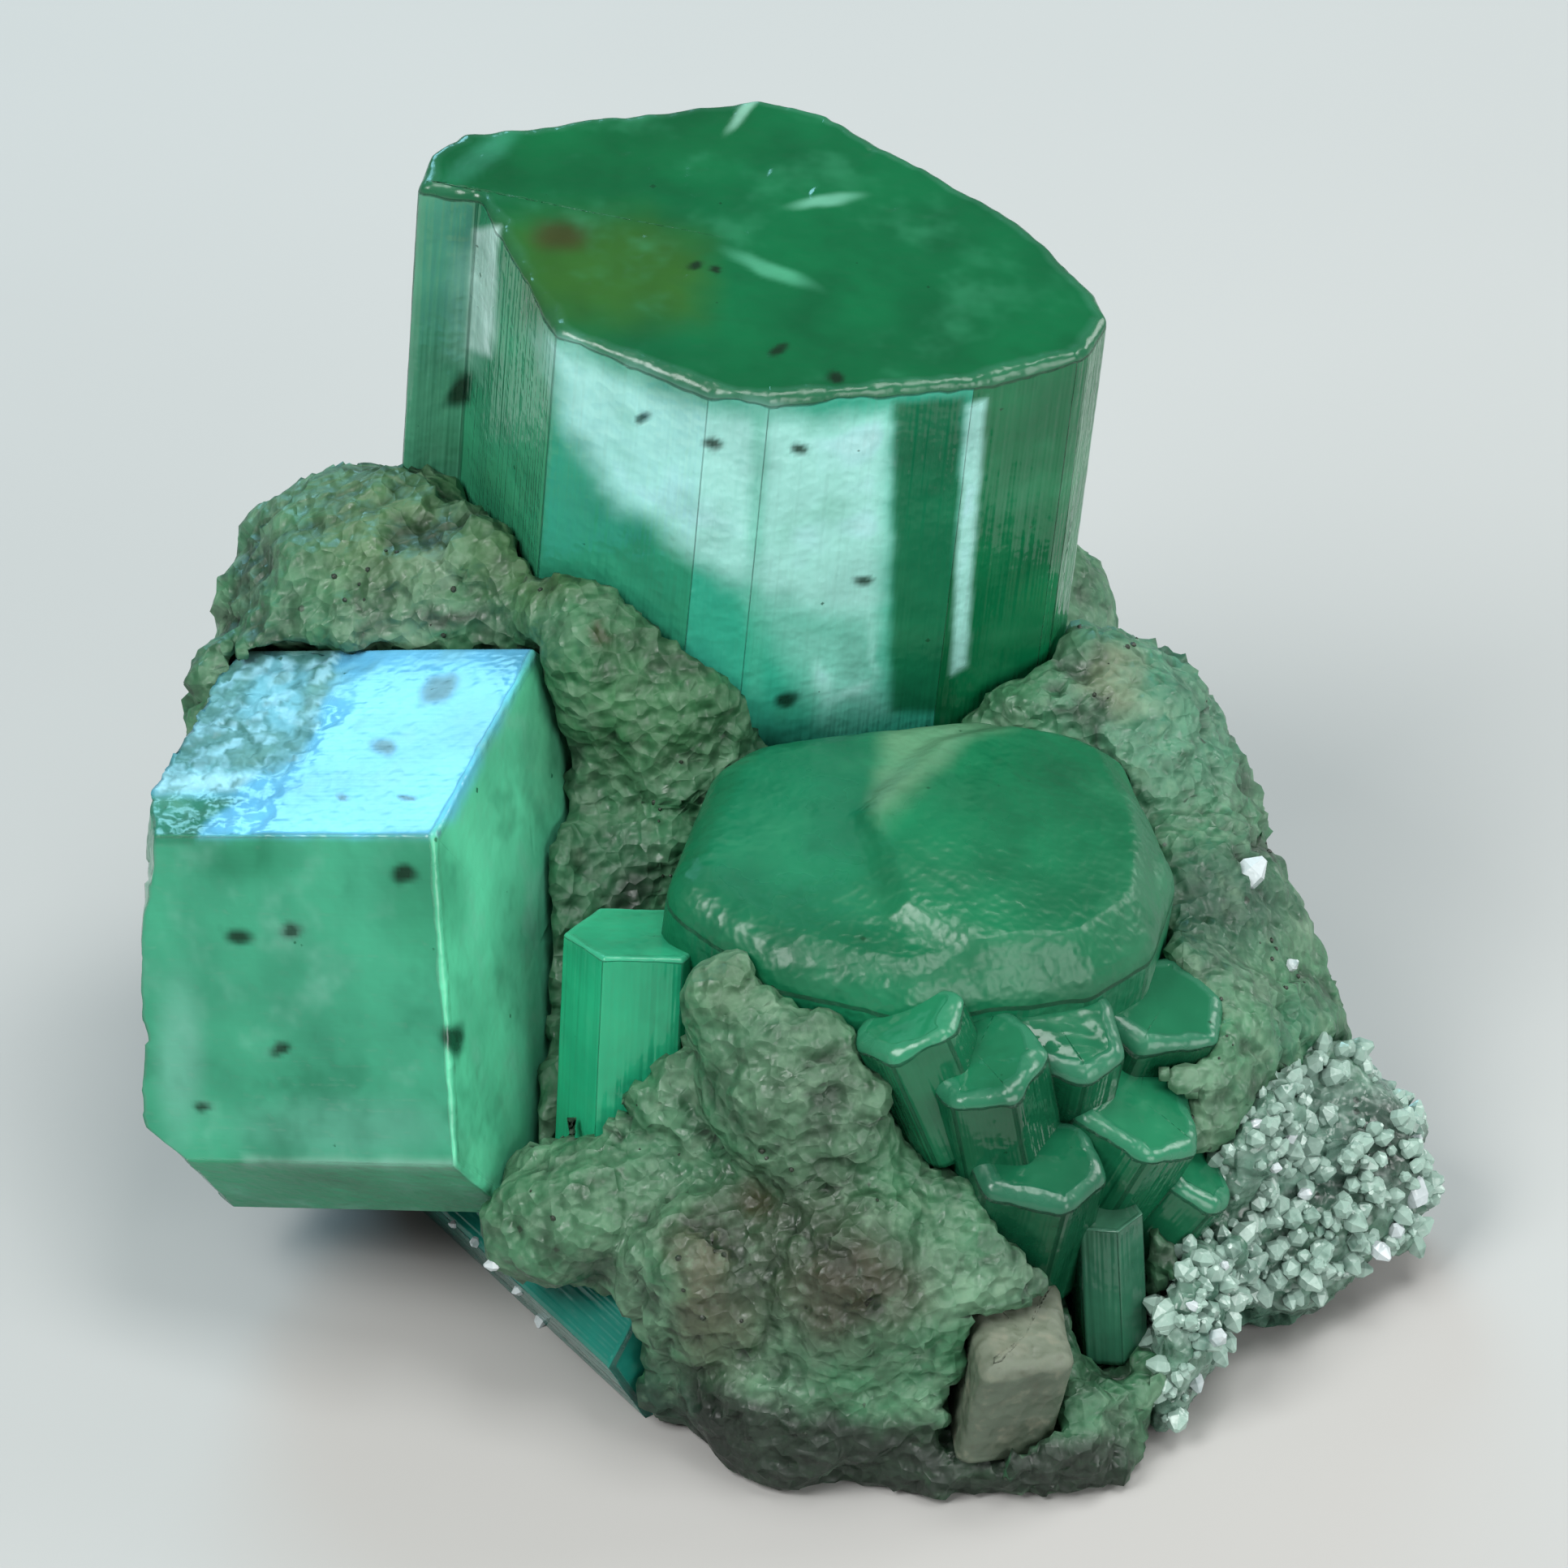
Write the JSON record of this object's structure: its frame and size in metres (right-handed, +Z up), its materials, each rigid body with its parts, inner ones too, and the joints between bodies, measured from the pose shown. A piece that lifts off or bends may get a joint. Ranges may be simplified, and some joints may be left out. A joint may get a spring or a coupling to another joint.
{
  "type": "emerald crystal specimen",
  "caption": "Green emerald crystals grown together on a loose, flat-based piece of calcite matrix with a grainy druse; a mineral specimen that rests on its base.",
  "frame": {"origin": "middle of the specimen's box, at the flat base it rests on", "axes": "+Z up along the tall crystal, +X to the right and -Y towards the viewer of the pictured side"},
  "size_m": [0.034, 0.0305, 0.0267],
  "materials": {
    "emerald": "clear to milky green beryl, glossy prism faces, fine growth lines, dark specks and veils inside",
    "emerald_pale": "paler, cloudier green beryl with an etched glossy side face",
    "emerald_teal": "deep blue-green beryl in shadow, glossy",
    "calcite": "waxy grey-green calcite with olive and brown iron stains and black specks",
    "calcite_pink": "pinkish-white calcite, satin cleavage faces",
    "druse": "grainy grey-green crust of tiny bright crystals"
  },
  "bodies": {
    "root": {"main_crystal": "emerald", "left_crystal": "emerald_pale", "right_crystal": "emerald", "lower_left_crystal": "emerald_teal", "centre_crystal": "emerald", "small_prism": "emerald_teal", "emerald_cluster": "emerald", "calcite_block": "calcite_pink", "calcite_matrix": "calcite", "quartz_druse": "druse"}
  },
  "joints": []
}
